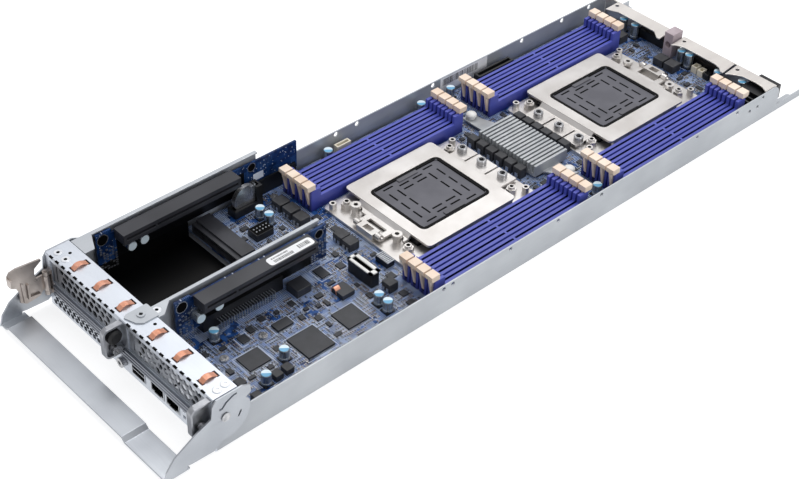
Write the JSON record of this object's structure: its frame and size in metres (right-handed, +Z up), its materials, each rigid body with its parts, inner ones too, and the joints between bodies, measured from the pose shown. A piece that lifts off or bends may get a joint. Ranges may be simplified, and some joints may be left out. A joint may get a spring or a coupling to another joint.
{
  "type": "server node tray",
  "caption": "Open low-profile server node tray with paired processor sockets, memory banks, riser slots, swinging front handle and release latch.",
  "frame": {"origin": "middle of the tray's underside: halfway along the floor sheet and halfway across it", "axes": "+X to the right as seen from the handle end, +Y from the face to the rear, +Z up from the resting face"},
  "size_m": [0.1728, 0.5968, 0.0432],
  "materials": {
    "zinc_sheet": "zinc plated, satin",
    "handle_steel": "zinc plated, satin, lightly streaked",
    "nickel_lever": "nickel plated, warm satin",
    "contact_copper": "copper alloy spring, bright",
    "screw_steel": "zinc plated",
    "black_rubber": "matte",
    "board_blue": "solder mask, low gloss",
    "riser_blue": "dark solder mask, low gloss",
    "socket_blue": "moulded, satin",
    "latch_ivory": "moulded, satin",
    "frame_steel": "nickel plated, satin",
    "black_plastic": "moulded, matte",
    "cap_grey": "moulded, fine satin",
    "sink_aluminium": "milled, satin",
    "ferrite": "matte, pressed powder",
    "can_aluminium": "drawn can, bright top",
    "chip_black": "moulded epoxy",
    "white_plastic": "moulded, satin",
    "liner_black": "film, satin",
    "cell_steel": "nickel plated, bright",
    "rear_steel": "nickel plated, satin",
    "guide_grey": "moulded, matte",
    "port_steel": "nickel plated shells",
    "rail_grey": "satin, ribbed"
  },
  "bodies": {
    "node_tray": {"tray": "zinc_sheet", "front_panel": "zinc_sheet", "slot_covers": "zinc_sheet", "mid_rail": "rail_grey", "emi_fingers": "contact_copper", "panel_screws": "screw_steel", "bracket_ears": "nickel_lever", "ear_pad": "black_rubber", "handle_pins": "screw_steel", "latch_hinge": "nickel_lever", "mainboard": "board_blue", "board_standoffs": "screw_steel", "board_screws": "screw_steel", "dimm_front_left": "socket_blue", "dimm_front_right": "socket_blue", "dimm_rear_left": "socket_blue", "dimm_rear_right": "socket_blue", "cpu_base_front": "frame_steel", "cpu_base_rear": "frame_steel", "cpu_housing_front": "black_plastic", "cpu_housing_rear": "black_plastic", "vrm_heatsink": "sink_aluminium", "push_pins": "white_plastic", "chokes": "ferrite", "capacitors": "can_aluminium", "chips": "chip_black", "black_connectors": "black_plastic", "white_connectors": "white_plastic", "mezzanine_connector": "black_plastic", "bay_liner": "liner_black", "coin_cell": "cell_steel", "coin_cell_holder": "black_plastic", "rear_plate": "rear_steel", "guide_block": "guide_grey", "rear_connector": "black_plastic", "usb_ports": "port_steel", "lan_ports": "port_steel", "riser_left_plug": "black_plastic", "riser_centre_plug": "black_plastic"},
    "handle": {"handle": "handle_steel"},
    "latch_lever": {"latch_lever": "nickel_lever"},
    "panel_captive_screw": {"panel_captive_screw": "screw_steel"},
    "ear_centre_screw": {"ear_centre_screw": "screw_steel"},
    "ear_right_screw": {"ear_right_screw": "screw_steel"},
    "latches_front_near": {"latches_front_near": "latch_ivory"},
    "latches_front_far": {"latches_front_far": "latch_ivory"},
    "latches_rear_near": {"latches_rear_near": "latch_ivory"},
    "latches_rear_far": {"latches_rear_far": "latch_ivory"},
    "force_frame_front": {"force_frame_front": "frame_steel", "frame_screws_front": "screw_steel"},
    "force_frame_rear": {"force_frame_rear": "frame_steel", "frame_screws_rear": "screw_steel"},
    "cpu_cap_front": {"cpu_cap_front": "cap_grey"},
    "cpu_cap_rear": {"cpu_cap_rear": "cap_grey"},
    "riser_left": {"riser_left_board": "riser_blue", "riser_left_slot": "black_plastic", "riser_left_bracket": "zinc_sheet"},
    "riser_centre": {"riser_centre_board": "riser_blue", "riser_centre_slot": "black_plastic", "riser_centre_bracket": "zinc_sheet"}
  },
  "joints": [
    {"name": "handle_lift", "type": "hinge", "parent": "node_tray", "child": "handle", "pos_m": [0, -0.2728, 0.0248], "axis": [-1, 0, 0], "range_deg": [0, 38]},
    {"name": "latch_release", "type": "hinge", "parent": "node_tray", "child": "latch_lever", "pos_m": [-0.0806, -0.2834, 0.02], "axis": [0, 0, 1], "range_deg": [0, 12]},
    {"name": "panel_screw_turn", "type": "hinge", "parent": "node_tray", "child": "panel_captive_screw", "pos_m": [-0.005, -0.28, 0.007], "axis": [0, 1, 0], "continuous": true},
    {"name": "ear_centre_screw_turn", "type": "hinge", "parent": "node_tray", "child": "ear_centre_screw", "pos_m": [-0.0056, -0.2864, 0.0226], "axis": [1, 0, 0], "continuous": true},
    {"name": "ear_right_screw_turn", "type": "hinge", "parent": "node_tray", "child": "ear_right_screw", "pos_m": [0.0786, -0.2864, 0.0226], "axis": [1, 0, 0], "continuous": true},
    {"name": "latches_front_near_open", "type": "hinge", "parent": "node_tray", "child": "latches_front_near", "pos_m": [0, -0.1037, 0.0124], "axis": [1, 0, 0], "range_deg": [0, 28]},
    {"name": "latches_front_far_open", "type": "hinge", "parent": "node_tray", "child": "latches_front_far", "pos_m": [0, 0.0343, 0.0124], "axis": [-1, 0, 0], "range_deg": [0, 28]},
    {"name": "latches_rear_near_open", "type": "hinge", "parent": "node_tray", "child": "latches_rear_near", "pos_m": [0, 0.0636, 0.0124], "axis": [1, 0, 0], "range_deg": [0, 28]},
    {"name": "latches_rear_far_open", "type": "hinge", "parent": "node_tray", "child": "latches_rear_far", "pos_m": [0, 0.2016, 0.0124], "axis": [-1, 0, 0], "range_deg": [0, 28]},
    {"name": "force_frame_front_open", "type": "hinge", "parent": "node_tray", "child": "force_frame_front", "pos_m": [0.0032, -0.0929, 0.0128], "axis": [1, 0, 0], "range_deg": [0, 95]},
    {"name": "force_frame_rear_open", "type": "hinge", "parent": "node_tray", "child": "force_frame_rear", "pos_m": [0.0032, 0.1924, 0.0128], "axis": [-1, 0, 0], "range_deg": [0, 95]},
    {"name": "cpu_cap_front_lift", "type": "slide", "parent": "force_frame_front", "child": "cpu_cap_front", "axis": [0, 0, 1], "range_m": [0, 0.025]},
    {"name": "cpu_cap_rear_lift", "type": "slide", "parent": "force_frame_rear", "child": "cpu_cap_rear", "axis": [0, 0, 1], "range_m": [0, 0.025]},
    {"name": "riser_left_lift", "type": "slide", "parent": "node_tray", "child": "riser_left", "axis": [0, 0, 1], "range_m": [0, 0.04]},
    {"name": "riser_centre_lift", "type": "slide", "parent": "node_tray", "child": "riser_centre", "axis": [0, 0, 1], "range_m": [0, 0.04]}
  ]
}
